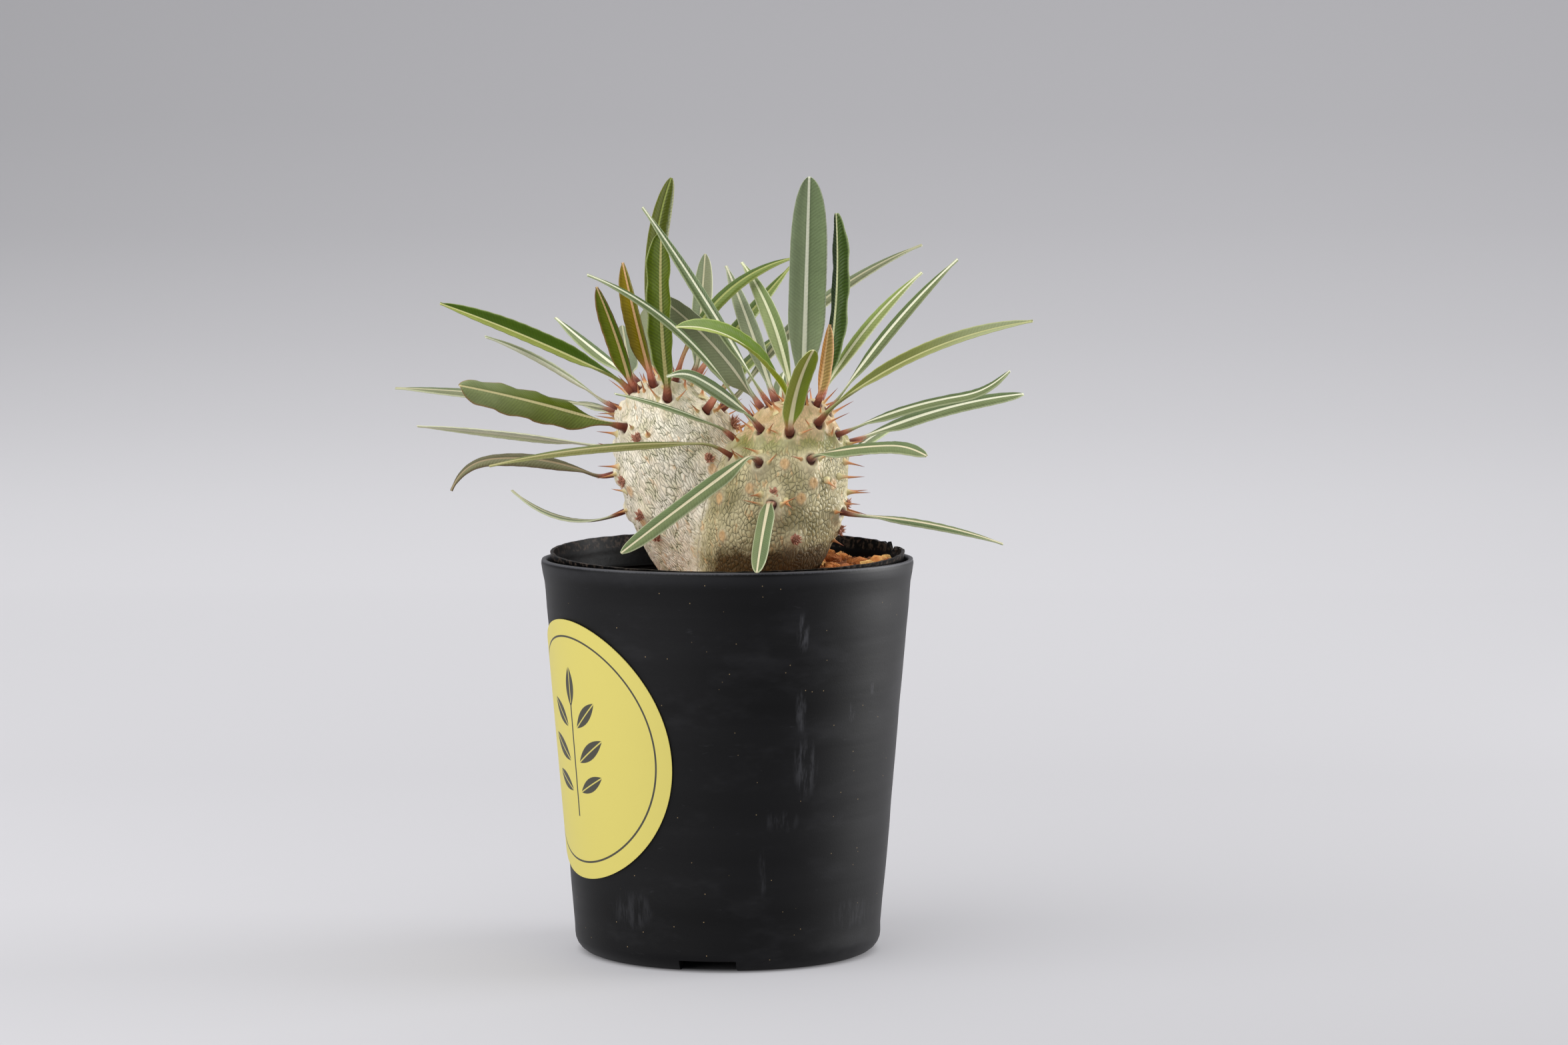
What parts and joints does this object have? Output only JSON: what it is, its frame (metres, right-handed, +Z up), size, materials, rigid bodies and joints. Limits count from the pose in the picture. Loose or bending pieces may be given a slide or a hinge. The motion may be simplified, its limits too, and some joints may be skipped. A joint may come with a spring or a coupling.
{
  "type": "potted pachypodium",
  "caption": "Swollen two-headed succulent stem with paired spines and long strap leaves, in soil in a thin liner inside a round tapered pot with a plain round label.",
  "frame": {"origin": "on the surface that the pot stands on, under the middle of the box round the pot and its leaves; the pot's axis is at X +5.3 mm, Y -7.9 mm", "axes": "+Z up along the pot's axis, -Y to the front that the picture shows, +X to the right"},
  "size_m": [0.1553, 0.1208, 0.1866],
  "materials": {
    "outer_pot": "charcoal black moulded plastic, satin, with light scuffs",
    "liner_pot": "thin black plastic, cut edge",
    "label": "matt yellow sticker with a plain black sprig and ring",
    "soil": "orange-brown baked clay grains with fibres",
    "stem": "silvery wrinkled bark with green grooves, tan scars and brown spines",
    "leaves": "dark green leaf with a cream midrib, felty grey-green below"
  },
  "bodies": {
    "root": {"outer_pot": "outer_pot", "liner_pot": "liner_pot", "label": "label", "soil": "soil", "caudex": "stem", "left_leaf_01": "leaves", "left_leaf_02": "leaves", "left_leaf_03": "leaves", "left_leaf_04": "leaves", "left_leaf_05": "leaves", "left_leaf_06": "leaves", "left_leaf_07": "leaves", "left_leaf_08": "leaves", "left_leaf_09": "leaves", "left_leaf_10": "leaves", "left_leaf_11": "leaves", "left_leaf_12": "leaves", "left_leaf_13": "leaves", "left_leaf_14": "leaves", "left_leaf_15": "leaves", "left_leaf_16": "leaves", "left_leaf_17": "leaves", "left_leaf_18": "leaves", "left_leaf_19": "leaves", "left_leaf_20": "leaves", "left_leaf_21": "leaves", "left_leaf_22": "leaves", "left_leaf_23": "leaves", "right_leaf_01": "leaves", "right_leaf_02": "leaves", "right_leaf_03": "leaves", "right_leaf_04": "leaves", "right_leaf_05": "leaves", "right_leaf_06": "leaves", "right_leaf_07": "leaves", "right_leaf_08": "leaves", "right_leaf_09": "leaves", "right_leaf_10": "leaves", "right_leaf_11": "leaves", "right_leaf_12": "leaves", "right_leaf_13": "leaves", "right_leaf_14": "leaves", "right_leaf_15": "leaves", "right_leaf_16": "leaves", "right_leaf_17": "leaves", "right_leaf_18": "leaves", "right_leaf_19": "leaves", "right_leaf_20": "leaves", "right_leaf_21": "leaves", "right_leaf_22": "leaves", "right_leaf_23": "leaves", "right_leaf_24": "leaves", "right_leaf_25": "leaves"}
  },
  "joints": []
}
